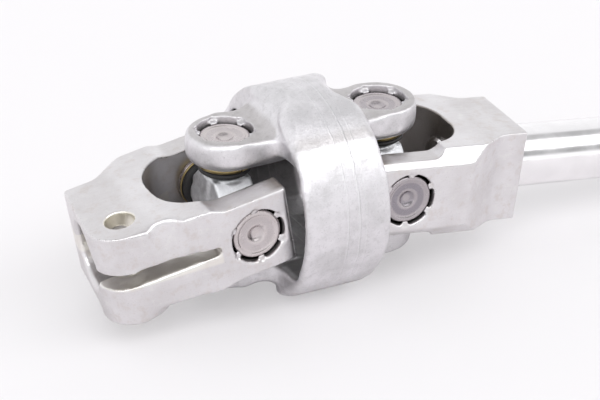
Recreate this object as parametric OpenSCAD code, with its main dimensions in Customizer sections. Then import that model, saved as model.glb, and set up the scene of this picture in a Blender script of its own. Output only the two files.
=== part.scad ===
// Double universal joint of a steering column: a clamp yoke and a shaft yoke
// on two crosses, with a ring-shaped coupling yoke between them.
// Millimetres, +X along the joint towards the shaft, +Z up through the ears,
// origin on the floor under the middle of the whole length.

/* [Crosses and bearing cups] */
// Outer diameter of a bearing cup
cup_d = 16; // [15:0.1:17]
// Distance over the closed faces of two opposite cups
cup_span = 45.4; // [44:0.2:47]
// Length of a bearing cup
cup_len = 7.8; // [7.2:0.1:8.2]
// Thickness of a cup's closed end
cup_end_t = 2.2; // [1.8:0.1:2.6]
// Wall of a cup round its needles
cup_wall = 1.18; // [1:0.02:1.4]
// Diameter of a needle roller
needle_d = 1.8; // [1.4:0.1:2]
// Diameter of the cross's shoulders
hub_d = 15.6; // [14:0.2:16.6]
// Room for a seal between a cup and the cross's shoulder
seal_h = 3.9; // [3.5:0.1:4.5]
// Width of the cross's web along the joint
web_w = 11; // [8:0.5:14]
// Outer diameter of a rubber seal
seal_d = 18.8; // [17:0.1:19]
// Thickness of a seal retainer's sheet
retainer_t = 0.5; // [0.3:0.1:0.7]
// Gap round a cup's closed end in its seat
rim_gap = 0.8; // [0.4:0.1:1]
// Depth of that gap below the cup's face
rim_depth = 2.2; // [0.5:0.1:2.6]
// Width of a staked dent
stake_w = 2.2; // [1.2:0.1:2.6]

/* [Coupling yoke] */
// Distance between the two crosses
cross_gap = 52.8; // [51:0.2:56]
// Outer diameter of the ring
ring_d = 66.8; // [66:0.2:70]
// Wall of the ring
ring_wall = 3; // [2.8:0.1:5.4]
// Width of the ring along the joint
ring_w = 29; // [26:0.5:30]
// Width of an ear
ear_w = 24.4; // [23:0.2:25.4]
// Height of an ear's outer face above its cup
ear_over = 2.4; // [1.4:0.1:3]
// Thickness of an ear
ear_t = 9.6; // [9:0.1:10]
// Edge radius of the ears on the clamp's side
soft_edge = 2.4; // [1:0.1:3]
// Edge radius of the ears on the shaft's side
crisp_edge = 1; // [0.5:0.1:2]
// Height of the arch between the ears' undersides
arch_h = 3.1; // [2:0.1:4]
// Radius where an ear flares into the ring
flare_r = 5; // [3:0.5:8]
// Radius at the foot and top of the rise from an ear to the ring
rise_r = 5; // [3:0.5:6]
// Height of the parting lines
ridge_h = 0.25; // [0.1:0.05:0.5]
// Width of the flat that the ring rests on
rest_flat = 10; // [4:0.5:14]

/* [Arms of both yokes] */
// Height of the clamp yoke's arm faces above their cups
clamp_arm_over = 1.6; // [1.2:0.1:2.4]
// Height of the shaft yoke's arm faces above their cups
shaft_arm_over = 1.2; // [1.1:0.1:2.4]
// Thickness of an arm
arm_t = 8.6; // [8.2:0.1:8.8]
// Height of the milled arms
arm_h = 25.4; // [23:0.2:26.4]
// Reach of an arm past the cross towards the ring
arm_reach = 11; // [10:0.1:11.4]
// Bevel on the arms' ends
arm_bevel = 0.6; // [0.3:0.1:1]
// Depth of the pocket behind the cross
pocket_depth = 23.1; // [22.6:0.1:24]
// Width of the flat part of the pocket's floor
pocket_flat = 4.8; // [3:0.1:10]

/* [Clamp yoke] */
// Height of the clamp block above its milled arms
clamp_over = 1.5; // [1:0.1:2.4]
// Distance from the cross to where the milling runs out
clamp_mill_x = 13.5; // [12.8:0.1:15]
// Radius of the milling's run-out
clamp_mill_r = 14.4; // [10:0.2:20]
// Diameter of the shaft bore
clamp_bore_d = 20.4; // [17:0.1:20.8]
// Distance from the cross to the pinch bolt
bolt_x = 37.2; // [36.4:0.1:38.6]
// Distance from the front arm's face to the pinch bolt
bolt_in = 14.6; // [13:0.1:15]
// Diameter of the bolt's clearance hole
bolt_hole_d = 9; // [8.4:0.1:9.4]
// Diameter of the bolt's tapped hole
bolt_thread_d = 6.8; // [6.6:0.1:7.4]
// Radius of the block's round corner about the bolt
bolt_corner_r = 10.7; // [10:0.1:11]
// Slant of the block's end face in degrees
end_slant = 6.6; // [1:0.2:9]
// Distance from the cross to where the front face starts to slant
front_turn = 9.6; // [9.2:0.1:14]
// Distance from the back arm's face in to the block's back face
back_in = 7.6; // [6:0.1:9]
// Distance from the cross to where the back face starts to flare
waist_x = 36.2; // [34.5:0.1:38]
// Slope of the flare at the back in degrees
back_slope = 35; // [32:1:44]
// Radius at both ends of the flare
back_r = 6; // [4:0.2:8]
// Distance from the back arm's face in to the shoulder where the flare ends
shoulder_in = 0.3; // [0.2:0.1:1.4]
// Distance from the cross to the dip in the front face
dip_x = 28; // [26.5:0.1:29]
// Depth of the dip below the arm's face, at the block's top
dip_depth = 5.9; // [4.4:0.1:6.4]
// Radius of the dip
dip_r = 6.6; // [5:0.2:8]
// Lean of the dip in degrees, which lets it run out downwards
dip_lean = 12; // [9:1:20]
// Width of the pinch slit at its closed end
slit_w = 2.9; // [2.4:0.1:3.6]
// Height of the pinch slit's upper side above the axis
slit_top = 1.15; // [0.5:0.05:1.5]
// Angle between the slit's sides in degrees
slit_angle = 4.2; // [0:0.2:5]
// Distance from the cross to the slit's closed end
slit_end = 12.3; // [12:0.1:14]
// Diameter of the round boss under the bolt
boss_d = 21.2; // [17:0.2:21.4]
// Height of the boss below the block
boss_h = 3.2; // [2:0.1:5]

/* [Shaft yoke and shaft] */
// Height of the shaft yoke's block above its milled arms
shaft_over = 2.6; // [1.6:0.1:3]
// Distance from the cross to where the milling runs out
shaft_mill_x = 12.5; // [12:0.1:14]
// Radius of the milling's run-out
shaft_mill_r = 6; // [4:0.2:10]
// Distance from the cross to the yoke's end face
shaft_yoke_end = 45.6; // [44:0.2:50]
// Width of the block round the shaft
block_w = 29.4; // [26:0.2:31]
// Distance from the cross to where the sides start to slant in
slant_start = 21.6; // [19:0.2:23]
// Distance from the cross to where the sides meet the block
slant_end = 36; // [34:0.2:39]
// Width of the slanted edges along the arms
edge_y = 4.2; // [3.4:0.1:6]
// Height of the slanted edges along the arms
edge_z = 4.8; // [3.4:0.1:5]
// Diameter of the output shaft
shaft_d = 20.5; // [19:0.1:22]
// Diameter of the shaft's end in the yoke
stub_d = 16; // [14:0.1:17]
// How far the shaft's end stands into the pocket
stub_out = 1.6; // [1:0.1:2.4]
// Bevel on the shaft's far end
end_bevel = 1; // [0.5:0.1:2]

/* [Pose at rest] */
// Droop of the clamp yoke in degrees
droop_clamp = 9.9; // [6:0.1:12]
// Droop of the shaft yoke in degrees
droop_shaft = 6.2; // [5:0.1:9]
// Swing of the clamp yoke in degrees
swing_clamp = 0.2; // [-3:0.1:3]
// Swing of the shaft yoke in degrees
swing_shaft = -2.2; // [-3:0.1:3]

/* [Hidden] */
SIDES = ["clamp", "shaft"];
POSTS = ["top", "bottom", "front", "back"];
$fn = 96;

// Clearances
press_gap = 0.01;
needle_gap = 0.03;
end_gap = 0.1;
seal_gap = 0.3;
over = 1;

// Cup, needles and cross
cup_r = cup_d / 2;
cup_face = cup_span / 2;
cup_mouth = cup_face - cup_len;
rim_r = cup_r + rim_gap;
stake_angles = [30, 90, 150, 210, 270, 330];
needle_track = cup_r - cup_wall;
trunnion_r = needle_track - 2 * needle_gap - needle_d;
needle_pitch = trunnion_r + needle_gap + needle_d / 2;
needle_count = floor(180 / asin((needle_d / 2 + 0.01) / needle_pitch));
trunnion_end = cup_face - cup_end_t - end_gap;
shoulder = cup_mouth - seal_h;

// Ring and ears
ring_r = ring_d / 2;
ring_in = ring_r - ring_wall;
ring_half = ring_w / 2;
axis_z = sqrt(pow(ring_r, 2) - pow(rest_flat / 2, 2));
cross_x = cross_gap / 2;
ear_face = cup_face + ear_over;
ear_under = ear_face - ear_t;
web_z = ear_under + arch_h;
ear_r = ear_w / 2;
rise_start = rim_r + 0.3;
rise_end = rise_start + ring_r - ear_face + 2 * rise_r * (sin(45) + cos(45) - 1);

// Arms and the clamp block
clamp_arm_y = cup_face + clamp_arm_over;
shaft_arm_y = cup_face + shaft_arm_over;
arm_z = arm_h / 2;
back_taper = 15;
clamp_z = arm_z + clamp_over;
shaft_z = arm_z + shaft_over;
clamp_back = clamp_arm_y - back_in;
bolt_y = clamp_arm_y - bolt_in;
bolt_at = [-bolt_x, -bolt_y];
end_tangent = bolt_at + bolt_corner_r * [-cos(end_slant), sin(end_slant)];
back_corner_x = end_tangent.x + (clamp_back - end_tangent.y) * tan(end_slant);
end_x = end_tangent.x - end_tangent.y * tan(end_slant);
mouth_bevel = 1.2;

// Resting place: the ring's flat and the far end of the shaft touch the floor
shaft_r = shaft_d / 2;
shaft_len = (axis_z - shaft_r * cos(droop_shaft)) / sin(droop_shaft) + end_bevel;
end_r = shaft_r - end_bevel;
shaft_reach = shaft_len * cos(droop_shaft) * cos(swing_shaft)
    + end_r * sqrt(pow(sin(droop_shaft) * cos(swing_shaft), 2) + pow(sin(swing_shaft), 2));
clamp_reach = (bolt_x * cos(droop_clamp) + clamp_z * sin(droop_clamp)) * cos(swing_clamp)
    - bolt_y * sin(swing_clamp)
    + bolt_corner_r * sqrt(pow(cos(droop_clamp) * cos(swing_clamp), 2) + pow(sin(swing_clamp), 2));
coupling_x = (clamp_reach - shaft_reach) / 2;

aluminium = [0.80, 0.80, 0.81];
cast = [0.74, 0.75, 0.77];
steel = [0.70, 0.71, 0.73];
brass = [0.72, 0.60, 0.35];
rubber = [0.06, 0.06, 0.06];

// Points of an arc, both ends included
function arc(centre, r, from, to, steps = 8) =
    [for (i = [0:steps]) centre + r * [cos(from + (to - from) * i / steps),
                                       sin(from + (to - from) * i / steps)]];

// Right half of a box whose lower and upper corners are rounded
function half_box(w, z0, z1, r0, r1) = concat(
    [[0, z0]], arc([w - r0, z0 + r0], r0, -90, 0, 6),
    arc([w - r1, z1 - r1], r1, 0, 90, 6), [[0, z1]]);

// The points off the Y axis mirrored in it, in turning order
function mirrored(points) =
    [for (i = [len(points) - 1:-1:0]) if (points[i].x != 0) [-points[i].x, points[i].y]];

// Places of the bodies
module in_coupling() translate([coupling_x, 0, axis_z]) children();
module at_cross(side) in_coupling()
    translate([side == "clamp" ? -cross_x : cross_x, 0, 0]) children();
module in_cross(side) at_cross(side)
    rotate([0, 0, side == "clamp" ? swing_clamp : swing_shaft]) children();
module in_yoke(side) in_cross(side)
    rotate([0, side == "clamp" ? -droop_clamp : droop_shaft, 0]) children();

// Turns what points up into the direction of one post of a cross
module to_post(post)
    rotate(post == "bottom" ? [180, 0, 0] : post == "front" ? [90, 0, 0] :
           post == "back" ? [-90, 0, 0] : [0, 0, 0]) children();

// A bearing piece on its post: ears hold the upright posts, arms the level ones
module on_post(side, post) {
    if (post == "top" || post == "bottom") at_cross(side) to_post(post) children();
    else in_yoke(side) to_post(post) children();
}

// Bearing cup with a dimple, a shallow ring groove and a bevelled rim
module cup() {
    dimple = [[0, cup_face - 0.5], [1.1, cup_face - 0.4], [1.9, cup_face]];
    groove = [[3.1, cup_face], [3.4, cup_face - 0.3],
              [cup_r - 2.5, cup_face - 0.3], [cup_r - 2.2, cup_face]];
    wall = [[cup_r - 0.7, cup_face], [cup_r, cup_face - 0.7],
            [cup_r, cup_mouth + 0.3], [cup_r - 0.3, cup_mouth]];
    inside = [[needle_track, cup_mouth], [needle_track, cup_face - cup_end_t],
              [0, cup_face - cup_end_t]];
    color(steel) rotate_extrude() polygon(concat(dimple, groove, wall, inside));
}

module needles() {
    low = cup_mouth + 1;
    color(steel) for (i = [0:needle_count - 1])
        rotate([0, 0, i * 360 / needle_count]) translate([needle_pitch, 0, low])
            cylinder(d = needle_d, h = cup_face - cup_end_t - end_gap - low, $fn = 24);
}

// Rubber seal between the cross's shoulder and the cup
module seal() {
    low = shoulder + seal_gap;
    high = cup_mouth - retainer_t;
    outer = seal_d / 2;
    inner = trunnion_r + seal_gap;
    color(rubber) rotate_extrude() polygon(concat(
        [[inner, low + 0.6], [inner + 0.6, low]],
        arc([outer - 0.9, low + 0.9], 0.9, -90, 0, 4),
        [[outer, high - 1], [outer - 0.5, high - 0.7], [outer - 0.5, high], [inner, high]]));
}

// Sheet ring that holds the seal on its cup
module retainer() {
    outer = seal_d / 2 + 0.15;
    inner = trunnion_r + 0.5;
    seat = cup_mouth - retainer_t;
    color(brass) rotate_extrude() polygon([
        [inner, seat], [inner, cup_mouth], [outer - 0.3, cup_mouth], [outer, cup_mouth - 0.3],
        [outer, seat - 0.6], [outer - 0.5, seat - 0.6], [outer - 0.5, seat]]);
}

// Forged cross: four trunnions on turned shoulders, with a bevelled web between them
module cross_piece() {
    hub_r = hub_d / 2;
    bevel = 1.2;
    web_reach = shoulder - bevel;
    web_corner = hub_r - 2.4;
    color(steel) {
        for (turn = [0, 90]) rotate([turn, 0, 0]) for (up = [0, 180]) rotate([0, up, 0])
            rotate_extrude() polygon([
                [0, 0], [hub_r, 0], [hub_r, shoulder - bevel], [hub_r - bevel, shoulder],
                [trunnion_r, shoulder], [trunnion_r, trunnion_end - 0.6],
                [trunnion_r - 0.6, trunnion_end], [0, trunnion_end]]);
        rotate([0, 90, 0]) linear_extrude(web_w, center = true) polygon([
            for (q = [0:3], p = [[web_reach, web_corner], [web_corner, web_reach]])
                [p.x * cos(90 * q) - p.y * sin(90 * q), p.x * sin(90 * q) + p.y * cos(90 * q)]]);
    }
}

// Seat of a cup: the bore, and the wider rim round the cup's closed face
module cup_seat() {
    translate([0, 0, shoulder]) cylinder(r = cup_r + press_gap, h = cup_face);
    translate([0, 0, cup_face - rim_depth]) cylinder(r = rim_r, h = cup_face);
    for (a = stake_angles) rotate([0, 0, a])
        translate([rim_r - 0.4, -stake_w / 2, cup_face + 0.8]) cube([1, stake_w, cup_face]);
}

// Metal staked over the edge of a cup
module stakes() for (a = stake_angles) rotate([0, 0, a])
    translate([cup_r - 0.55, -stake_w / 2, cup_face + press_gap]) cube([rim_gap + 1.3, stake_w, 0.8]);

// Ring with rounded rims and two fine parting lines
module ring_body() {
    outer_edge = 2;
    inner_edge = 0.8;
    function ridge(x) = [[x + 0.35, ring_r], [x, ring_r + ridge_h], [x - 0.35, ring_r]];
    outline = concat(
        arc([ring_half - inner_edge, ring_in + inner_edge], inner_edge, -90, 0, 4),
        arc([ring_half - outer_edge, ring_r - outer_edge], outer_edge, 0, 90, 6),
        ridge(3.2), ridge(-0.8),
        arc([-ring_half + outer_edge, ring_r - outer_edge], outer_edge, 90, 180, 6),
        arc([-ring_half + inner_edge, ring_in + inner_edge], inner_edge, 180, 270, 4));
    rotate([0, 90, 0]) rotate_extrude() polygon([for (p = outline) [p.y, p.x]]);
}

// Rise from an ear's face to the ring's band: a hollow arc, a slope and a round one
function rise_curve(shift = 0) = concat(
    arc([rise_start + shift, ear_face + rise_r], rise_r, -90, -45, 5),
    arc([rise_end + shift, ring_r - rise_r], rise_r, 135, 90, 5));

// One ear, in a frame with the cross's centre as origin and the ring at +X
module ear(edge) {
    section = half_box(ear_r, ear_under, ear_face, 2.6, edge);
    rotate_extrude() polygon(section);
    rotate([90, 0, 90]) linear_extrude(cross_x) polygon(concat(section, mirrored(section)));
}

// Where an ear flares and rises into the ring, and the web across the ring's opening
module ear_root() {
    flare_x = cross_x - ring_half + 0.5 - flare_r;
    corner = 1.8;
    corner_y = sqrt(pow(ring_in - corner, 2) - pow(web_z - corner, 2));
    corner_a = atan2(web_z - corner, corner_y);
    plan = concat([[0, ear_r]], arc([flare_x, ear_r + flare_r], flare_r, -90, 0, 8),
                  [[flare_x + flare_r, ring_r], [cross_x, ring_r]]);
    section = concat(
        [[0, ear_under]], arc([ear_r - 2.6, ear_under + 2.6], 2.6, -90, 0, 6),
        arc([ear_r + 0.4, web_z - 0.4], 0.4, 180, 90, 3),
        arc([corner_y, web_z - corner], corner, 90, corner_a, 5),
        arc([0, 0], ring_in + 1.2, corner_a, 90, 12));
    intersection() {
        linear_extrude(ring_r) polygon(concat(plan, [for (i = [len(plan) - 1:-1:0])
            [plan[i].x, -plan[i].y]]));
        rotate([90, 0, 0]) linear_extrude(ring_d, center = true)
            polygon(concat([[0, 0], [0, ear_face]], rise_curve(0.03),
                           [[cross_x, ring_r], [cross_x, 0]]));
        rotate([90, 0, 90]) linear_extrude(cross_x) polygon(concat(section, mirrored(section)));
    }
}

// What is cut away round the seat of an upper cup, so that the ring's rim sweeps down to it
module seat_sweep() rotate_extrude()
    polygon(concat([[0, ear_face]], rise_curve(), [[rise_end, ring_r + over], [0, ring_r + over]]));

module coupling_yoke() {
    arch_s = web_z - ear_under;
    arch_c = ring_half - 1.5;
    arch_r = (arch_c * arch_c + arch_s * arch_s) / (2 * arch_s);
    arch_a = asin(arch_c / arch_r);
    arch = arc([0, web_z - arch_r], arch_r, 90 + arch_a, 90 - arch_a, 12);
    color(cast) in_coupling() {
        difference() {
            union() {
                ring_body();
                for (turn = [0, 180], up = [0, 180]) rotate([up, 0, turn]) {
                    translate([-cross_x, 0, 0]) {
                        ear(turn == 0 ? soft_edge : crisp_edge);
                        ear_root();
                    }
                }
            }
            for (turn = [0, 180], up = [0, 180]) rotate([up, 0, turn])
                translate([-cross_x, 0, 0]) {
                    seat_sweep();
                    cup_seat();
                }
            for (up = [0, 180]) rotate([up + 90, 0, 0])
                linear_extrude(ear_w + over, center = true) polygon(concat(
                    [[arch_c, ear_under - over], [-arch_c, ear_under - over]], arch));
            // flat to rest on
            translate([0, 0, -axis_z - ring_r]) cube(2 * ring_r, center = true);
        }
        for (turn = [0, 180], up = [0, 180]) rotate([up, 0, turn])
            translate([-cross_x, 0, 0]) stakes();
    }
}

// Pocket between the arms, its floor at -X
module pocket(arm_y) {
    arm_in = arm_y - arm_t;
    corner_y = pocket_flat / 2;
    corner_r = arm_in - corner_y;
    floor_x = -pocket_depth + corner_r;
    linear_extrude(4 * arm_z, center = true) {
        translate([floor_x, -arm_in]) square([pocket_depth + arm_reach, 2 * arm_in]);
        translate([-pocket_depth, -corner_y]) square([pocket_depth, 2 * corner_y]);
        for (y = [-corner_y, corner_y]) translate([floor_x, y]) circle(r = corner_r);
    }
}

// Milling that lowers the arms on both sides, and runs out in a cutter's radius
module milling(depth, start, r) {
    floor_x = -start + sqrt(r * r - pow(r - depth, 2));
    for (turn = [0, 180]) rotate([turn, 0, 0]) {
        translate([floor_x, -2 * cup_face, arm_z]) cube([start + cup_span, 4 * cup_face, arm_z]);
        translate([floor_x, 0, arm_z + r]) rotate([90, 0, 0])
            cylinder(r = r, h = 4 * cup_face, center = true, $fn = 144);
    }
}

// Plan of the clamp yoke, with its arms at +X and its front at -Y
function clamp_plan() =
    let (arm_y = clamp_arm_y,
         shoulder_y = arm_y - shoulder_in,
         turn_at = [-front_turn, -arm_y] - bolt_at,
         front_end = atan2(turn_at.y, turn_at.x) - acos(bolt_corner_r / norm(turn_at)),
         back_rise = shoulder_y - clamp_back - 2 * back_r * (1 - cos(back_slope)),
         shoulder_x = -waist_x + 2 * back_r * sin(back_slope) + back_rise / tan(back_slope))
    concat(
        [[arm_reach, -arm_y + arm_bevel], [arm_reach - arm_bevel, -arm_y], [-front_turn, -arm_y]],
        arc(bolt_at, bolt_corner_r, 360 + front_end, 180 - end_slant, 20),
        [[back_corner_x, clamp_back - 1], [back_corner_x + 1, clamp_back]],
        arc([-waist_x, clamp_back + back_r], back_r, -90, -90 + back_slope, 6),
        arc([shoulder_x, shoulder_y - back_r], back_r, 90 + back_slope, 90, 6),
        [[shoulder_x + back_taper, arm_y], [arm_reach - arm_bevel, arm_y],
         [arm_reach, arm_y - arm_bevel]]);

// Slit with a round closed end, its lower side slanted
module pinch_slit() {
    end_at = [-slit_end - slit_w / 2, slit_top - slit_w / 2];
    reach = clamp_arm_y + bolt_x;
    rotate([90, 0, 0]) linear_extrude(2 * cup_face) polygon(concat(
        [[end_at.x - reach, slit_top]], arc(end_at, slit_w / 2, 90, -90 - slit_angle, 24),
        [[end_at.x - reach, slit_top - slit_w - reach * tan(slit_angle)]]));
}

module clamp_yoke() {
    slit_mid = slit_top - slit_w / 2;
    color(aluminium) in_yoke("clamp") {
        difference() {
            union() {
                linear_extrude(2 * clamp_z, center = true) polygon(clamp_plan());
                translate([bolt_at.x, bolt_at.y, -clamp_z - boss_h]) {
                    cylinder(r1 = boss_d / 2 - 0.8, r2 = boss_d / 2, h = 0.8);
                    translate([0, 0, 0.8]) cylinder(d = boss_d, h = boss_h);
                }
            }
            pocket(clamp_arm_y);
            milling(clamp_over, clamp_mill_x, clamp_mill_r);
            for (post = ["front", "back"]) to_post(post) cup_seat();
            // dip in the front face, deepest at the top
            translate([-dip_x, -clamp_arm_y + dip_depth - dip_r, clamp_z]) rotate([-dip_lean, 0, 0])
                translate([0, 0, -2 * clamp_z]) cylinder(r = dip_r, h = 3 * clamp_z);
            // bore for the column's shaft, with a bevelled mouth
            translate([-pocket_depth + over, 0, 0]) rotate([0, -90, 0])
                cylinder(d = clamp_bore_d, h = bolt_x);
            translate([end_x, 0, 0]) rotate([0, -90, -end_slant]) translate([0, 0, -mouth_bevel])
                cylinder(r1 = clamp_bore_d / 2, r2 = clamp_bore_d / 2 + 2 * mouth_bevel,
                         h = 2 * mouth_bevel);
            pinch_slit();
            // pinch bolt: clear above the slit, tapped below it
            translate([bolt_at.x, bolt_at.y, slit_mid]) {
                cylinder(d = bolt_hole_d, h = 2 * clamp_z);
                rotate([180, 0, 0]) cylinder(d = bolt_thread_d, h = 2 * clamp_z + boss_h);
            }
            translate([bolt_at.x, bolt_at.y, clamp_z - 0.4])
                cylinder(d1 = bolt_hole_d, d2 = bolt_hole_d + 1.6, h = 0.8);
            translate([bolt_at.x, bolt_at.y, -clamp_z - boss_h - 0.5])
                cylinder(d1 = bolt_thread_d + 3, d2 = bolt_thread_d, h = 1.5);
        }
        for (post = ["front", "back"]) to_post(post) stakes();
    }
}

// One side of the shaft yoke's plan, with its arms at -X
function shaft_yoke_side() =
    let (arm_y = shaft_arm_y,
         slope = atan2(arm_y - block_w / 2, slant_end - slant_start),
         fillet = 8, brow = 3)
    concat(
        [[-arm_reach, arm_y - arm_bevel], [-arm_reach + arm_bevel, arm_y]],
        arc([slant_start - brow * tan(slope / 2), arm_y - brow], brow, 90, 90 - slope, 4),
        arc([slant_end + fillet * tan(slope / 2), block_w / 2 + fillet], fillet,
            270 - slope, 270, 6),
        [[shaft_yoke_end - 0.4, block_w / 2], [shaft_yoke_end, block_w / 2 - 0.4]]);

module shaft_yoke() {
    plan = shaft_yoke_side();
    color(aluminium) in_yoke("shaft") {
        difference() {
            linear_extrude(2 * shaft_z, center = true)
                polygon(concat(plan, [for (i = [len(plan) - 1:-1:0]) [plan[i].x, -plan[i].y]]));
            mirror([1, 0, 0]) {
                pocket(shaft_arm_y);
                milling(shaft_over, shaft_mill_x, shaft_mill_r);
            }
            for (post = ["front", "back"]) to_post(post) cup_seat();
            // slanted edges along the arms
            for (y = [-1, 1], z = [-1, 1]) rotate([90, 0, 90])
                linear_extrude(2 * shaft_yoke_end, center = true) polygon([
                    [y * (shaft_arm_y - 1.5 * edge_y), z * (shaft_z + edge_z / 2)],
                    [y * (shaft_arm_y + edge_y), z * (shaft_z - 2 * edge_z)],
                    [y * (shaft_arm_y + edge_y), z * (shaft_z + edge_z / 2)]]);
            translate([pocket_depth - over, 0, 0]) rotate([0, 90, 0])
                cylinder(d = stub_d + 2 * press_gap, h = shaft_yoke_end);
        }
        for (post = ["front", "back"]) to_post(post) stakes();
    }
}

// Turned bar, pressed into the yoke and staked where it stands into the pocket
module output_shaft() {
    stub_r = stub_d / 2;
    seat = shaft_yoke_end + press_gap;
    start = pocket_depth - stub_out;
    color(steel) in_yoke("shaft") rotate([0, 90, 0]) rotate_extrude() polygon([
        [0, start + 0.8], [1.2, start + 0.6], [2.2, start], [stub_r - 0.8, start],
        [stub_r, start + 0.8], [stub_r, seat],
        [shaft_r, seat], [shaft_r, shaft_len - end_bevel], [shaft_r - end_bevel, shaft_len],
        [0, shaft_len]]);
}

coupling_yoke();
clamp_yoke();
shaft_yoke();
output_shaft();
for (side = SIDES) {
    in_cross(side) cross_piece();
    for (post = POSTS) {
        on_post(side, post) cup();
        on_post(side, post) needles();
        on_post(side, post) seal();
        on_post(side, post) retainer();
    }
}
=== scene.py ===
"""Steering column shaft joint: its looks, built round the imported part.

Metres, in the part's own frame: +X along the joint towards the shaft, +Z up through
the coupling's ears, origin on the floor under the middle of the whole length.
"""

import math

import bpy
import numpy as np
from mathutils import Matrix, Vector


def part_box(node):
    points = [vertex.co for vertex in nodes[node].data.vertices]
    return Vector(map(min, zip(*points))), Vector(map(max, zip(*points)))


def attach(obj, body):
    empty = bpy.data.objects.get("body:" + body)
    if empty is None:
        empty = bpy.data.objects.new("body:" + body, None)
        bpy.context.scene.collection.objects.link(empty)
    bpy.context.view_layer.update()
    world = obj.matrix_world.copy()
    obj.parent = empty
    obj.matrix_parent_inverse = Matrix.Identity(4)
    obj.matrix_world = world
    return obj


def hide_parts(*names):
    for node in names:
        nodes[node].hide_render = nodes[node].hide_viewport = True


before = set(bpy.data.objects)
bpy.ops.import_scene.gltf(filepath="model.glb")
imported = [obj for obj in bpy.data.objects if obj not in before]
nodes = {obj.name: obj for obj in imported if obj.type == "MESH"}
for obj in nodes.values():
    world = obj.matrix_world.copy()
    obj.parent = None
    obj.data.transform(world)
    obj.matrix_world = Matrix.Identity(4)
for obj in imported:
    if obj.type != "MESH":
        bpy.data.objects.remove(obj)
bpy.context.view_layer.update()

MM = 0.001
SIDES = ("clamp", "shaft")
POSTS = ("top", "bottom", "front", "back")

# Places and sizes that the looks need, in millimetres, as in the part's source
CROSS_X = 26.4
RING_R = 33.4
REST_FLAT = 10.0
AXIS_Z = math.sqrt(RING_R ** 2 - (REST_FLAT / 2) ** 2)
CUP_R = 8.0
CUP_FACE = 22.7
CUP_MOUTH = 14.9
CUP_WALL = 1.18
CUP_END = 2.2
TRUNNION_R = 4.9
TRUNNION_END = 20.3
SHOULDER = 11.0
SEAL_R = 8.3
EAR_FACE = 25.1
RIM_R = 8.8
ARM_FACE = {"clamp": 24.3, "shaft": 23.9}
ARM_T = 8.6
ARM_REACH = 11.0
POCKET_DEPTH = 23.1
POCKET_FLAT = 4.8
MILLED_Z = 12.7
BOLT = (-37.2, -9.7)
BOLT_R = 4.5
SLIT_TOP, SLIT_LOW, SLIT_END = 1.2, -4.2, -12.0
DIP_X = -28.0

# Each end yoke's swing and droop at rest, in degrees
POSE = {"clamp": (0.2, -9.9), "shaft": (-2.2, 6.2)}

# Size of the finer pieces' faces, how far the band may stand past its radius, and how far
# the flare behind the clamp side's ears is drawn in
RING_CELL, YOKE_CELL, CROSS_CELL = 0.5, 0.42, 0.4
RING_SPARE = 0.2
FLARE_DRAW = 1.8

# How many times points are drawn towards their neighbours: on the cast skin, more so at
# the ears and the sweeps to them; on the milled skin, its seats and its dip; on the cross
CAST_EASE, EAR_EASE, SWEEP_EASE, HIGH_EASE = 8, 14, 36, 50
MILLED_EASE, SEAT_EASE, DIP_EASE = 2.2, 0.9, 36
FORGED_EASE = 4.0

# Strengths of the shade painted inside the ring, and how much less it is below; of the shade
# painted on tops, tips and pockets; and of the light painted into the pinch slit
INSIDE_SHADE, LESS_BELOW = 0.92, 0.35
EAR_TOP_SHADE, MILLED_TOP_SHADE, TIP_SHADOW, BLOCK_TOP_SHADE = 0.40, 0.22, 0.8, 0.10
POCKET_SHADE = {"clamp": 0.30, "shaft": 0.9}
PAINTED_SLIT_LIGHT = 0.5

ring_low, ring_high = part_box("coupling_yoke")
CENTRE = Vector(((ring_low.x + ring_high.x) / 2, 0.0, AXIS_Z * MM))


def cross_place(side):
    """Where a side's cross has its centre."""
    sign = -1 if side == "clamp" else 1
    return Matrix.Translation(CENTRE + Vector((sign * CROSS_X * MM, 0, 0)))


def yoke_place(side):
    """The frame of a side's end yoke: swung about the upright posts, then tilted."""
    swing, droop = POSE[side]
    return (cross_place(side) @ Matrix.Rotation(math.radians(swing), 4, "Z")
            @ Matrix.Rotation(math.radians(droop), 4, "Y"))


def post_place(side, post):
    """The frame of one bearing, its own +Z pointing out along the post."""
    base = cross_place(side) if post in ("top", "bottom") else yoke_place(side)
    turn = {"top": 0, "bottom": 180, "front": 90, "back": -90}[post]
    return base @ Matrix.Rotation(math.radians(turn), 4, "X")


def post_body(side, post):
    """The body that a bearing's cup moves with."""
    return "coupling" if post in ("top", "bottom") else side + "_side"


# Camera, fitted to the photograph's edges: angles, places in millimetres, lens

YAW, PITCH, ROLL = math.radians(27.434), math.radians(28.361), math.radians(-1.132)
DISTANCE, SHIFT_RIGHT, SHIFT_DOWN = 679.06, 0.298, -4.875
FOCAL, SENSOR = 130.13, 36
NEAREST = 0.05


def add_camera():
    ahead = Vector((math.sin(YAW) * math.cos(PITCH), math.cos(YAW) * math.cos(PITCH),
                    -math.sin(PITCH)))
    right0 = Vector((math.cos(YAW), -math.sin(YAW), 0))
    down0 = ahead.cross(right0)
    right = math.cos(ROLL) * right0 + math.sin(ROLL) * down0
    down = -math.sin(ROLL) * right0 + math.cos(ROLL) * down0
    place = CENTRE - (ahead * DISTANCE + right * SHIFT_RIGHT + down * SHIFT_DOWN) * MM
    turn = Matrix((right, -down, -ahead)).transposed().to_4x4()
    data = bpy.data.cameras.new("camera")
    data.lens = FOCAL
    data.sensor_width = SENSOR
    data.clip_start = NEAREST
    camera = bpy.data.objects.new("camera", data)
    camera.matrix_world = Matrix.Translation(place) @ turn
    bpy.context.scene.collection.objects.link(camera)
    bpy.context.scene.camera = camera


# Materials

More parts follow.
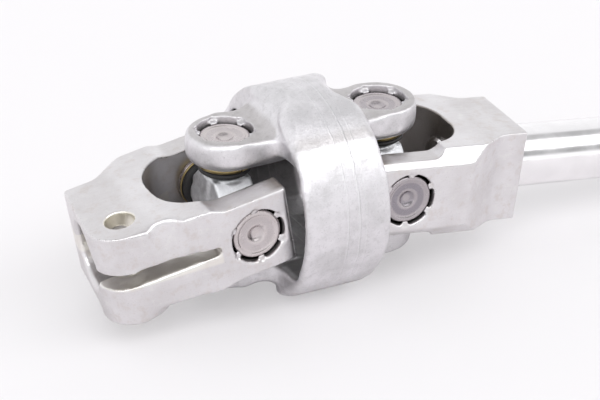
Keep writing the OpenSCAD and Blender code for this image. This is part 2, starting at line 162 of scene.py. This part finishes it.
class Nodes:
    """Short calls for building one material's node tree."""

    def __init__(self, name):
        self.material = bpy.data.materials.new(name)
        self.material.use_nodes = True
        self.tree = self.material.node_tree
        self.tree.nodes.clear()

    def add(self, kind, inputs=None, **settings):
        node = self.tree.nodes.new(kind)
        for key, value in settings.items():
            setattr(node, key, value)
        for key, value in (inputs or {}).items():
            self.set(node.inputs[key], value)
        return node

    def set(self, socket, value):
        if isinstance(value, bpy.types.NodeSocket):
            self.tree.links.new(value, socket)
        else:
            socket.default_value = value

    def math(self, operation, a, b=0.0, clamp=False):
        node = self.add("ShaderNodeMath", {0: a, 1: b}, operation=operation)
        node.use_clamp = clamp
        return node.outputs[0]

    def noise(self, vector, scale, detail, rough):
        node = self.add("ShaderNodeTexNoise", {"Vector": vector, "Scale": scale,
                                               "Detail": detail, "Roughness": rough})
        return node.outputs[0]

    def step(self, value, low, high, to_low=0.0, to_high=1.0):
        node = self.add("ShaderNodeMapRange",
                        {0: value, 1: low, 2: high, 3: to_low, 4: to_high})
        node.interpolation_type = "SMOOTHSTEP"
        return node.outputs[0]

    def blend(self, factor, a, b):
        node = self.add("ShaderNodeMix", data_type="RGBA")
        self.set(node.inputs[0], factor)
        for socket, colour in ((node.inputs[6], a), (node.inputs[7], b)):
            self.set(socket, (*colour, 1.0) if isinstance(colour, tuple) else colour)
        return node.outputs[2]

    def kept(self, name):
        """A value that the mesh keeps for each of its points."""
        return self.add("ShaderNodeAttribute", attribute_name=name).outputs["Fac"]

    def where(self, scale=(1, 1, 1)):
        """The place on the object, at rest and in millimetres, stretched."""
        place = self.add("ShaderNodeTexCoord").outputs["Object"]
        mapping = self.add("ShaderNodeMapping", {"Vector": place})
        mapping.inputs["Scale"].default_value = [s / MM for s in scale]
        return mapping.outputs[0]

    def finish(self, colour, roughness, height, depth, **fixed):
        """Ends the tree with the main shader; the bumps are as deep as depth, in millimetres."""
        shader = self.add("ShaderNodeBsdfPrincipled",
                          {"Base Color": colour, "Roughness": roughness, **fixed})
        bump = self.add("ShaderNodeBump",
                        {"Height": height, "Distance": depth * MM, "Strength": 1.0})
        self.tree.links.new(bump.outputs[0], shader.inputs["Normal"])
        out = self.add("ShaderNodeOutputMaterial")
        self.tree.links.new(shader.outputs[0], out.inputs[0])
        return self.material


# Tones for worn(): bare metal on edges, painted shade in hollows, painted light in bores, painted
# shade, and near-black painted shade
BARE_EDGE = (0.90, 0.89, 0.90)
HOLLOW_SHADE = (0.42, 0.40, 0.40)
PAINTED_BORE_LIGHT = (0.93, 0.90, 0.82)
SHADE_TONE = (0.30, 0.27, 0.25)
DEEP_SHADE_TONE = (0.030, 0.026, 0.023)
FRESH_METAL = (0.93, 0.92, 0.94)

# The mould's parting lines: places along the band from its middle, in millimetres, each
# with its strength, and how far they waver
PARTING_LINES = ((3.2, 1.0), (-0.8, 0.7), (5.6, 0.45))
WAVER = 0.9


def worn(n, tone, rough):
    """Brighter edges, painted shade in hollows, painted light in open bores, and painted shade
    where more is kept, near black in grooves and inside the ring.
    """
    tone = n.blend(n.math("MULTIPLY", n.kept("edge"), 0.08), tone, BARE_EDGE)
    # painted shade in hollows
    tone = n.blend(n.math("MULTIPLY", n.kept("hollow"), 0.45), tone, HOLLOW_SHADE)
    # painted light in open bores
    tone = n.blend(n.kept("lit"), tone, PAINTED_BORE_LIGHT)
    # painted shade on tops, tips and pockets
    tone = n.blend(n.kept("oil"), tone, SHADE_TONE)
    # painted shade, near black, in the seats' grooves and inside the ring
    tone = n.blend(n.kept("grime"), tone, DEEP_SHADE_TONE)
    rough = n.math("SUBTRACT", rough, n.math("MULTIPLY", n.kept("edge"), 0.07))
    return tone, n.math("ADD", rough, n.math("MULTIPLY", n.kept("grime"), 0.3), clamp=True)


def cast_metal():
    n = Nodes("cast_aluminium")
    place = n.where()
    cloud = n.noise(place, 0.10, 4, 0.6)
    patch = n.noise(place, 0.45, 4, 0.65)
    speck = n.noise(place, 1.7, 3, 0.65)
    grain = n.noise(place, 4.5, 2, 0.5)
    tone = n.blend(n.step(cloud, 0.35, 0.68), (0.67, 0.66, 0.675), (0.80, 0.785, 0.81))
    tone = n.blend(n.step(patch, 0.52, 0.70, 0, 0.30), tone, (0.50, 0.49, 0.49))
    tone = n.blend(n.step(speck, 0.56, 0.74, 0, 0.45), tone, (0.44, 0.43, 0.44))
    tone = n.blend(n.step(speck, 0.42, 0.28, 0, 0.35), tone, (0.88, 0.87, 0.89))
    rough = n.step(patch, 0.35, 0.65, 0.36, 0.50)
    tone, rough = worn(n, tone, rough)
    height = n.math("ADD", n.math("MULTIPLY", grain, 0.6), n.math("MULTIPLY", speck, 1.1))
    height = n.math("ADD", height, n.math("MULTIPLY", patch, 1.2))
    along = n.add("ShaderNodeSeparateXYZ", {"Vector": place}).outputs[0]
    waver = n.math("MULTIPLY", n.noise(place, 0.25, 3, 0.6), WAVER)
    # the parting lines stay out of the painted shade
    unshaded = n.math("SUBTRACT", 1.0, n.kept("grime"))
    for offset, strength in PARTING_LINES:
        at = CENTRE.x / MM + offset + WAVER / 2
        gap = n.math("ABSOLUTE", n.math("SUBTRACT", n.math("ADD", along, waver), at))
        line = n.math("MULTIPLY", n.step(gap, 0.42, 0.10, 0, strength), unshaded)
        height = n.math("ADD", height, n.math("MULTIPLY", line, 2.2))
        tone = n.blend(n.math("MULTIPLY", line, 0.22), tone, FRESH_METAL)
    return n.finish(tone, rough, height, 0.07, Metallic=1.0)


def milled_metal():
    n = Nodes("machined_aluminium")
    place = n.where()
    streak = n.noise(n.where((0.05, 1.2, 1.2)), 1.3, 3, 0.55)
    cloud = n.noise(place, 0.09, 3, 0.5)
    stain = n.noise(place, 0.28, 4, 0.65)
    speck = n.noise(place, 2.4, 3, 0.6)
    tone = n.blend(n.step(cloud, 0.3, 0.7), (0.70, 0.68, 0.69), (0.77, 0.755, 0.77))
    tone = n.blend(n.step(stain, 0.50, 0.70, 0, 0.45), tone, (0.62, 0.565, 0.535))
    tone = n.blend(n.step(stain, 0.44, 0.30, 0, 0.35), tone, (0.84, 0.84, 0.82))
    tone = n.blend(n.step(speck, 0.58, 0.76, 0, 0.5), tone, (0.48, 0.46, 0.45))
    rough = n.step(streak, 0.3, 0.7, 0.30, 0.46)
    tone, rough = worn(n, tone, rough)
    height = n.math("ADD", n.math("MULTIPLY", streak, 0.8), n.math("MULTIPLY", speck, 0.5))
    height = n.math("ADD", height, n.math("MULTIPLY", stain, 2.0))
    return n.finish(tone, rough, height, 0.05, Metallic=1.0)


def plain_metal(name, colour, dark, roughness, scale, depth):
    n = Nodes(name)
    place = n.where()
    cloud = n.noise(place, scale, 4, 0.6)
    grain = n.noise(place, scale * 12, 2, 0.5)
    tone = n.blend(n.step(cloud, 0.35, 0.7), dark, colour)
    rough = n.step(cloud, 0.3, 0.7, roughness - 0.05, roughness + 0.07)
    return n.finish(tone, rough, grain, depth, Metallic=1.0)


def cup_metal():
    """Pressed steel with a faint brownish haze, darker where shade is painted."""
    n = Nodes("cup_steel")
    place = n.where()
    cloud = n.noise(place, 0.22, 3, 0.5)
    speck = n.noise(place, 2.2, 3, 0.6)
    tone = n.blend(n.step(cloud, 0.3, 0.7), (0.60, 0.555, 0.55), (0.66, 0.61, 0.61))
    tone = n.blend(n.step(speck, 0.60, 0.76, 0, 0.35), tone, (0.42, 0.38, 0.37))
    # painted shade: some whole cups darker, and rings across the dimpled face
    tone = n.blend(n.kept("oil"), tone, (0.30, 0.28, 0.31))
    return n.finish(tone, n.step(cloud, 0.3, 0.7, 0.21, 0.30), speck, 0.01, Metallic=1.0)


def rubber():
    n = Nodes("seal_rubber")
    grain = n.noise(n.where(), 3.0, 3, 0.6)
    tone = n.blend(n.step(grain, 0.3, 0.7), (0.012, 0.012, 0.013), (0.030, 0.029, 0.029))
    return n.finish(tone, n.step(grain, 0.3, 0.7, 0.45, 0.65), grain, 0.03)


materials = {
    "cast": cast_metal(),
    "milled": milled_metal(),
    "turned": plain_metal("turned_steel", (0.95, 0.94, 0.95), (0.88, 0.87, 0.88),
                          0.17, 0.1, 0.006),
    "forged": plain_metal("forged_steel", (0.84, 0.85, 0.87), (0.68, 0.69, 0.71),
                          0.45, 0.5, 0.10),
    "cup": cup_metal(),
    "needle": plain_metal("needle_steel", (0.7, 0.7, 0.72), (0.6, 0.6, 0.62),
                          0.25, 0.3, 0.005),
    "rubber": rubber(),
    "retainer": plain_metal("retainer_sheet", (0.46, 0.36, 0.17), (0.33, 0.26, 0.13),
                            0.32, 0.3, 0.02),
}

# The first of these words that a node's name holds says which material it has
KINDS = (("coupling_yoke", "cast"), ("_yoke", "milled"), ("output_shaft", "turned"),
         ("_cross", "forged"), ("_cup_", "cup"), ("_needles_", "needle"),
         ("_seal_", "rubber"), ("_retainer_", "retainer"))


def dress(obj, key):
    obj.data.materials.clear()
    obj.data.materials.append(materials[key])
    for face in obj.data.polygons:
        face.material_index = 0


for name, obj in nodes.items():
    dress(obj, next(key for word, key in KINDS if word in name))


# Finer pieces in place of the plain solids

def mesh_object(name, verts, faces):
    mesh = bpy.data.meshes.new(name)
    mesh.from_pydata([tuple(v) for v in verts], [], [tuple(f) for f in faces])
    mesh.validate()
    mesh.update()
    obj = bpy.data.objects.new(name, mesh)
    bpy.context.scene.collection.objects.link(obj)
    return obj


def even(obj, cell):
    """Gives an object an even mesh with faces of that size."""
    modifier = obj.modifiers.new("even", "REMESH")
    modifier.mode = "VOXEL"
    modifier.voxel_size = cell
    seen = obj.evaluated_get(bpy.context.evaluated_depsgraph_get())
    obj.data = bpy.data.meshes.new_from_object(seen)
    obj.modifiers.clear()


def even_mesh(name, place, cell):
    """A copy of a solid in its own frame, in millimetres, with even faces of that size."""
    mesh = nodes[name].data.copy()
    mesh.transform(Matrix.Scale(1 / MM, 4) @ place.inverted())
    obj = bpy.data.objects.new(name + "_fine", mesh)
    bpy.context.scene.collection.objects.link(obj)
    even(obj, cell)
    return obj


def points_of(mesh, layer="co"):
    """The points of a mesh, or their normals, as an array with three columns."""
    out = np.empty(3 * len(mesh.vertices))
    mesh.vertices.foreach_get(layer, out)
    return out.reshape(-1, 3)


def put_points(mesh, points):
    mesh.vertices.foreach_set("co", points.ravel())
    mesh.update()


def ease(mesh, points, rounds):
    """The points after each was drawn towards its neighbours as many times as rounds says."""
    ends = np.empty(2 * len(mesh.edges), dtype=np.int32)
    mesh.edges.foreach_get("vertices", ends)
    a, b = ends.reshape(-1, 2).T
    count = len(points)
    degree = np.maximum(np.bincount(ends, minlength=count), 1)[:, None]
    points = points.copy()
    for k in range(int(np.ceil(rounds.max()))):
        share = 0.5 * np.clip(rounds - k, 0, 1)[:, None]
        pull = np.stack([np.bincount(a, points[b, i], count) + np.bincount(b, points[a, i], count)
                         for i in range(3)], 1)
        points += share * (pull / degree - points)
    return points


def fade(value, low, high):
    """0 at low, 1 at high, and a soft step between them."""
    t = np.clip((value - low) / (high - low), 0, 1)
    return t * t * (3 - 2 * t)


def keep_values(mesh, **values):
    for name, value in values.items():
        layer = mesh.attributes.new(name, "FLOAT", "POINT")
        layer.data.foreach_set("value", np.ascontiguousarray(value, dtype=np.float32))


def relief(mesh, points, rounds=6, full=0.16):
    """How much each point stands out as an edge, and lies in a hollow, from 0 to 1."""
    smooth = ease(mesh, points, np.full(len(points), float(rounds)))
    out = ((points - smooth) * points_of(mesh, "normal")).sum(1)
    return np.clip(out / full, 0, 1), np.clip(-out / full, 0, 1)


def seats_of(points, posts):
    """For each point, the distance from the nearest seat's axis and the height along it."""
    best_r = np.full(len(points), 1e3)
    best_h = np.zeros(len(points))
    for origin, axis in posts:
        offset = points - np.array(origin)
        height = offset @ np.array(axis)
        r = np.linalg.norm(offset - height[:, None] * np.array(axis), axis=1)
        near = (r < best_r) & (height > 0)
        best_r[near] = r[near]
        best_h[near] = height[near]
    return best_r, best_h


def seat_grime(r, height):
    """Painted shade, near black, in the groove round a cup's closed face."""
    ring = (1 - fade(r, RIM_R, RIM_R + 0.3)) * fade(height, CUP_MOUTH + 1, CUP_MOUTH + 2)
    return ring * (1 - fade(height, CUP_FACE - 1.0, CUP_FACE + 0.3))


def settle(obj, place, points, body, key, slot, replaced, **values):
    """Gives a finer piece its points, kept values and material, and puts it in its body."""
    put_points(obj.data, points)
    keep_values(obj.data, **values)
    obj.data.transform(place @ Matrix.Scale(MM, 4))
    obj.data.update()
    for face in obj.data.polygons:
        face.use_smooth = True
    dress(obj, key)
    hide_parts(replaced)
    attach(obj, body)


def coupling():
    """The cast ring with its ears, blended at their roots, with painted shade inside it, in its
    seats' grooves and on its ears' tops.
    """
    place = Matrix.Translation(CENTRE)
    obj = even_mesh("coupling_yoke", place, RING_CELL)
    points = points_of(obj.data)
    x, _, z = np.abs(points).T
    posts = [((sx * CROSS_X, 0, 0), (0, 0, sz)) for sx in (-1, 1) for sz in (-1, 1)]
    r, height = seats_of(points, posts)
    at_seat = (1 - fade(r, 9.8, 11.0)) * fade(height, CUP_MOUTH - 1, CUP_MOUTH)
    sweeps = fade(x, 9, 13) * (1 - fade(x, 20, 25)) * fade(z, 14, 17)
    rounds = CAST_EASE + EAR_EASE * fade(x, 20, 24)
    rounds += (SWEEP_EASE + HIGH_EASE * fade(z, 23, 26)) * sweeps
    points = ease(obj.data, points, rounds * (1 - at_seat) + at_seat)

    # behind, the flare to the clamp side's ears starts nearer to the band
    drawn = fade(-points[:, 0], 11, 15) * fade(points[:, 1], 7, 13) * fade(points[:, 2], 12, 18)
    points[:, 0] += FLARE_DRAW * drawn * fade(r, 10, 14)

    # the band's outside is round, apart from the flat that it rests on
    from_axis = np.hypot(points[:, 1], points[:, 2])
    band = (1 - fade(x, 10, 12)) * fade(from_axis, RING_R - 0.35, RING_R - 0.12)
    band *= fade(points[:, 2], 1.2 - AXIS_Z, 2.4 - AXIS_Z)
    points[:, 1:] *= (1 + band * np.maximum(RING_R / from_axis - 1, 0))[:, None]

    # all of it stays on the floor and inside the ring's largest radius
    from_axis = np.hypot(points[:, 1], points[:, 2])
    points[:, 1:] *= np.minimum(1, (RING_R + RING_SPARE) / from_axis)[:, None]
    points[:, 2] = np.maximum(points[:, 2], -AXIS_Z)
    put_points(obj.data, points)

    edge, hollow = relief(obj.data, points)
    normals = points_of(obj.data, "normal")
    to_axis = -(normals[:, 1] * points[:, 1] + normals[:, 2] * points[:, 2]) / from_axis
    # painted shade inside the ring, near black, lighter towards the bottom
    inside = fade(to_axis, 0.3, 0.7) * (1 - fade(x, 11.5, 13.0)) * fade(from_axis, 12, 14)
    inside *= INSIDE_SHADE - LESS_BELOW * fade(-points[:, 2], 0, 18)
    # painted shade on the ears' faces that look up or down
    ears = fade(np.abs(normals[:, 2]), 0.6, 0.8) * fade(z, EAR_FACE - 0.7, EAR_FACE - 0.3)
    ears *= 1 - fade(z, EAR_FACE + 0.7, EAR_FACE + 2.9)
    settle(obj, place, points, "coupling", "cast", "cast_aluminium", "coupling_yoke",
           edge=edge, hollow=hollow, grime=np.maximum(seat_grime(r, height), inside),
           lit=np.zeros(len(points)), oil=EAR_TOP_SHADE * ears)


def end_yoke(side):
    """An end yoke with small round edges, painted shade in its pocket and on its milled faces,
    and painted light in its bolt's bore and slit.
    """
    clamp = side == "clamp"
    obj = even_mesh(side + "_yoke", yoke_place(side), YOKE_CELL)
    points = points_of(obj.data)
    r, height = seats_of(points, [((0, 0, 0), (0, sy, 0)) for sy in (-1, 1)])
    at_seat = (1 - fade(r, 9.6, 10.6)) * fade(height, CUP_MOUTH - 1, CUP_MOUTH)
    rounds = MILLED_EASE * (1 - at_seat) + SEAT_EASE * at_seat
    if clamp:
        dip = 1 - fade(np.abs(points[:, 0] - DIP_X), 8, 11)
        rounds += DIP_EASE * dip * (1 - fade(points[:, 1], -20, -15))
    points = ease(obj.data, points, rounds)
    put_points(obj.data, points)
    edge, hollow = relief(obj.data, points)
    x, y, z = points.T
    along = x if clamp else -x

    # the pocket's walls, by their distance from its outline in plan
    arm_in = ARM_FACE[side] - ARM_T
    corner_r = arm_in - POCKET_FLAT / 2
    floor_x = -POCKET_DEPTH + corner_r
    beside = np.maximum(np.abs(y) - POCKET_FLAT / 2, 0)
    beyond = np.where(along < floor_x, np.hypot(along - floor_x, beside) - corner_r,
                      np.abs(y) - arm_in)
    pocket = 1 - fade(beyond, 0.1, 0.5)

    # the arms' tips, their milled strips and the top of the block, painted darker on faces that
    # look up or down, most at the tips
    tip = fade(along, ARM_REACH - 5.5, ARM_REACH - 0.8) * (1 - fade(-y, 22, 24))
    faces_up = fade(np.abs(points_of(obj.data, "normal")[:, 2]), 0.6, 0.8)
    milled = 1 - fade(np.abs(z), MILLED_Z + 0.1, MILLED_Z + 0.6)
    milled *= fade(along, -14, -12)
    block = fade(-along, 28, 32) * (1 - fade(-along, 44, 50))
    # painted shade on faces that look up or down, and in the pocket
    oil = (MILLED_TOP_SHADE * milled + TIP_SHADOW * tip + BLOCK_TOP_SHADE * block) * faces_up
    oil += POCKET_SHADE[side] * pocket

    # painted light in the bolt's bore and, weaker, in the pinch slit
    lit = np.zeros(len(points))
    if clamp:
        from_bolt = np.hypot(x - BOLT[0], y - BOLT[1])
        lit = 1 - fade(from_bolt, BOLT_R + 0.1, BOLT_R + 0.5)
        slit = fade(z, SLIT_LOW - 0.4, SLIT_LOW) * (1 - fade(z, SLIT_TOP - 0.1, SLIT_TOP + 0.2))
        slit *= (1 - fade(x, SLIT_END - 0.6, SLIT_END)) * (1 - fade(-y, 24.0, 24.2))
        lit = np.maximum(lit, PAINTED_SLIT_LIGHT * slit)
    settle(obj, yoke_place(side), points, side + "_side", "milled", "machined_aluminium",
           side + "_yoke", edge=edge, hollow=hollow, grime=seat_grime(r, height), lit=lit,
           oil=np.clip(oil, 0, 1))


def rounded(profile, times=2):
    """A line of points with its corners cut that many times, both ends kept."""
    for _ in range(times):
        out = [profile[0]]
        for (r0, z0), (r1, z1) in zip(profile, profile[1:]):
            out += [(0.75 * r0 + 0.25 * r1, 0.75 * z0 + 0.25 * z1),
                    (0.25 * r0 + 0.75 * r1, 0.25 * z0 + 0.75 * z1)]
        profile = out + [profile[-1]]
    return profile


def lathe(profile, steps=80):
    """Points and faces of a profile turned about +Z; it starts and ends on the axis or closes."""
    verts, faces, rows = [], [], []
    closed = profile[0][0] > 0
    for r, z in profile:
        if r == 0:
            rows.append([len(verts)] * steps)
            verts.append((0, 0, z))
            continue
        rows.append(range(len(verts), len(verts) + steps))
        angles = [2 * math.pi * k / steps for k in range(steps)]
        verts += [(r * math.cos(a), r * math.sin(a), z) for a in angles]
    for low, high in zip(rows, rows[1:] + rows[:1] if closed else rows[1:]):
        for k in range(steps):
            corners = (low[k], high[k], high[(k + 1) % steps], low[(k + 1) % steps])
            faces.append(tuple(dict.fromkeys(corners)))
    return verts, faces


# How much shade is painted on some bearings' cups, and on all the others
SHADED_CUPS = {("shaft", "front"): 0.55, ("shaft", "top"): 0.3}
CUP_SHADE = 0.05


def bearing_piece(side, post, kind, profile, slot):
    """A turned piece that stands for one solid of a bearing."""
    obj = mesh_object(f"{side}_{kind}_{post}_fine", *lathe(profile))
    points = points_of(obj.data)
    shade_level = SHADED_CUPS.get((side, post), CUP_SHADE)
    from_middle = np.hypot(points[:, 0], points[:, 1])
    # painted shade in rings across the cup's face, like the dimple's own shading
    shade_rings = fade(from_middle, 3.3, 3.8) * (1 - fade(from_middle, 5.4, 5.9))
    shade_rings += 0.8 * fade(from_middle, 1.0, 1.5) * (1 - fade(from_middle, 2.3, 2.8))
    settle(obj, post_place(side, post), points, post_body(side, post),
           {"seal": "rubber"}.get(kind, kind), slot, f"{side}_{kind}_{post}",
           oil=np.clip(shade_level + (0.15 + 0.45 * shade_level) * shade_rings, 0, 1))


def bearing(side, post):
    """Drawn cup with a dimpled face, its rubber seal and the sheet ring between them."""
    top = CUP_FACE
    track = CUP_R - CUP_WALL
    face = rounded([(0, top - 1.2), (1.1, top - 1.18), (1.9, top - 0.95), (2.7, top - 0.35),
                    (3.3, top - 0.16), (4.6, top - 0.12), (5.7, top - 0.05), (6.2, top + 0.08),
                    (6.6, top + 0.34), (7.25, top + 0.38), (7.75, top + 0.1), (CUP_R, top - 0.6)])
    bearing_piece(side, post, "cup", face + [
        (CUP_R, CUP_MOUTH + 0.3), (CUP_R - 0.3, CUP_MOUTH), (track, CUP_MOUTH),
        (track, top - CUP_END), (0, top - CUP_END)], "cup_steel")

    low, high, inner = SHOULDER + 0.3, CUP_MOUTH - 0.5, TRUNNION_R + 0.4
    lips = rounded([(inner, low + 0.5), (inner + 0.7, low), (SEAL_R - 0.9, low + 0.1),
                    (SEAL_R - 0.1, low + 0.6), (SEAL_R, low + 1.2), (SEAL_R - 0.5, low + 1.6),
                    (SEAL_R - 0.1, high - 0.9), (SEAL_R - 0.4, high), (inner, high)])
    bearing_piece(side, post, "seal", lips[::-1], "seal_rubber")

    rim = SEAL_R + 0.25
    sheet = rounded([(inner + 0.1, CUP_MOUTH), (rim - 0.3, CUP_MOUTH), (rim, CUP_MOUTH - 0.3),
                     (rim, high - 0.7), (rim - 0.35, high - 0.7), (rim - 0.4, high),
                     (inner + 0.1, high)], 1)
    bearing_piece(side, post, "retainer", sheet[::-1], "retainer_sheet")


def cross(side):
    """Forged cross: a thick web with slanted corners between four turned shoulders."""
    half, reach, corner, neck = 6.3, 10.3, 5.6, 7.0
    outline = []
    for q in range(4):
        c, s = round(math.cos(q * math.pi / 2)), round(math.sin(q * math.pi / 2))
        outline += [(c * u - s * v, s * u + c * v) for u, v in ((reach, corner), (corner, reach))]
    verts = [(side_x, u, v) for side_x in (-half, half) for u, v in outline]
    count = len(outline)
    faces = [tuple(range(count))[::-1], tuple(range(count, 2 * count))]
    faces += [(k, (k + 1) % count, count + (k + 1) % count, count + k) for k in range(count)]
    post = [(0, 0), (neck, 0), (neck, SHOULDER - 0.9), (neck - 0.8, SHOULDER),
            (TRUNNION_R, SHOULDER), (TRUNNION_R, TRUNNION_END - 0.6),
            (TRUNNION_R - 0.6, TRUNNION_END), (0, TRUNNION_END)]
    for turn in (0, 90, 180, 270):
        spin = Matrix.Rotation(math.radians(turn), 3, "X")
        more, sides = lathe(post[::-1])
        faces += [tuple(len(verts) + k for k in f) for f in sides]
        verts += [tuple(spin @ Vector(v)) for v in more]
    obj = mesh_object(f"{side}_cross_fine", verts, faces)
    even(obj, CROSS_CELL)
    points = points_of(obj.data)
    points = ease(obj.data, points, np.full(len(points), FORGED_EASE))
    place = cross_place(side) @ Matrix.Rotation(math.radians(POSE[side][0]), 4, "Z")
    settle(obj, place, points, side + "_cross_body", "forged", "forged_steel", side + "_cross")


coupling()
for side in SIDES:
    end_yoke(side)
    cross(side)
    for post in POSTS:
        bearing(side, post)


# Stage

FLOOR_HALF = 6.0
PAPER = (0.79, 0.77, 0.78, 1.0)
PAPER_SEEN = (0.48, 0.471, 0.48, 1.0)
PAPER_GLOW = (1.0, 0.988, 1.0, 1.0)
GLOW = 0.395


def paper():
    """Matte white paper, which the camera sees paler, so that shadows stay light."""
    n = Nodes("floor_paper")
    seen = n.add("ShaderNodeLightPath").outputs["Is Camera Ray"]
    plain = n.add("ShaderNodeBsdfDiffuse", {"Color": PAPER})
    pale = n.add("ShaderNodeBsdfDiffuse", {"Color": PAPER_SEEN})
    glow = n.add("ShaderNodeEmission", {"Color": PAPER_GLOW, "Strength": GLOW})
    both = n.add("ShaderNodeAddShader", {0: pale.outputs[0], 1: glow.outputs[0]})
    mix = n.add("ShaderNodeMixShader", {0: seen, 1: plain.outputs[0], 2: both.outputs[0]})
    n.add("ShaderNodeOutputMaterial", {0: mix.outputs[0]})
    return n.material


def add_floor():
    signs = ((-1, -1), (1, -1), (1, 1), (-1, 1))
    floor = mesh_object("floor", [(FLOOR_HALF * u, FLOOR_HALF * v, 0) for u, v in signs],
                        [(0, 1, 2, 3)])
    floor.data.materials.append(paper())


# Light that the surroundings send, by the angle round the joint's length: 0 is level in
# front, 90 straight up and 180 level behind
SURROUNDINGS = ((0, 0.43), (12, 0.41), (17, 0.15), (35, 0.15), (41, 1.0), (60, 1.0), (78, 0.18),
                (98, 0.18), (103, 0.34), (180, 0.37))
BRIGHTEST = 2.9


def add_world():
    world = bpy.data.worlds.new("studio")
    bpy.context.scene.world = world
    world.use_nodes = True
    tree = world.node_tree
    tree.nodes.clear()

    def add(kind, *inputs, **settings):
        node = tree.nodes.new(kind)
        for key, value in settings.items():
            setattr(node, key, value)
        for socket, value in zip(node.inputs, inputs):
            if isinstance(value, bpy.types.NodeSocket):
                tree.links.new(value, socket)
            else:
                socket.default_value = value
        return node

    way = add("ShaderNodeSeparateXYZ", add("ShaderNodeTexCoord").outputs["Generated"])
    front = add("ShaderNodeMath", way.outputs[1], -1.0, operation="MULTIPLY")
    angle = add("ShaderNodeMath", way.outputs[2], front.outputs[0], operation="ARCTAN2")
    turn = add("ShaderNodeMath", angle.outputs[0], math.pi, operation="DIVIDE")
    ramp = add("ShaderNodeValToRGB", turn.outputs[0])
    stops = ramp.color_ramp.elements
    for k, (degrees, level) in enumerate(SURROUNDINGS):
        stop = stops[k] if k < 2 else stops.new(degrees / 180)
        stop.position = degrees / 180
        stop.color = (level, level, level * 1.01, 1)
    rays = add("ShaderNodeLightPath")
    plain = add("ShaderNodeBackground", (1, 1, 1, 1), 1.0)
    light = add("ShaderNodeBackground", ramp.outputs[0], BRIGHTEST)
    mix = add("ShaderNodeMixShader", rays.outputs["Is Camera Ray"], light.outputs[0],
              plain.outputs[0])
    add("ShaderNodeOutputWorld", mix.outputs[0])


add_camera()
add_world()
add_floor()

bpy.context.scene.view_settings.view_transform = "Standard"
